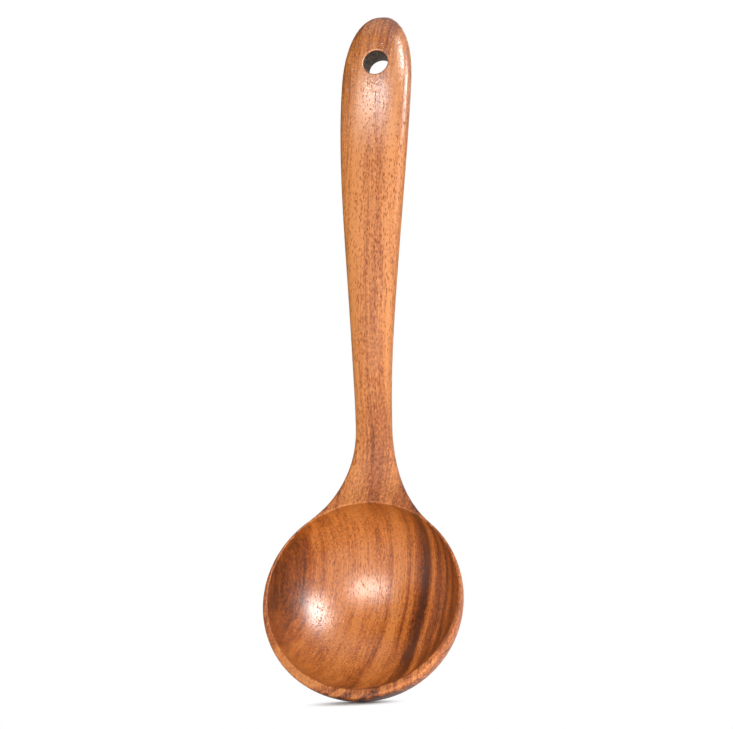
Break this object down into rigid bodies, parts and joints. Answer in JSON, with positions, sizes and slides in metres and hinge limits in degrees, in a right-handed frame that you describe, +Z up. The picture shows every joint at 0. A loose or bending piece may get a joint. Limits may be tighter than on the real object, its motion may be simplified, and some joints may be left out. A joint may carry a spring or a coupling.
{
  "type": "wooden ladle",
  "caption": "Wooden ladle with a deep round bowl, a flared neck and a flat handle whose rounded end has a hanging hole, for scooping and serving soup.",
  "frame": {"origin": "centre of the hanging hole, on the widest line of the handle's section", "axes": "+Z up along the handle, the bowl's mouth facing -Y and slightly up, X across the ladle"},
  "size_m": [0.08, 0.0499, 0.2701],
  "materials": {
    "bowl_wood": "oiled, semi-gloss, straight grain with dark stripes",
    "handle_wood": "oiled, semi-gloss, straight grain with fine pores"
  },
  "bodies": {
    "root": {"bowl": "bowl_wood", "handle": "handle_wood"}
  },
  "joints": []
}
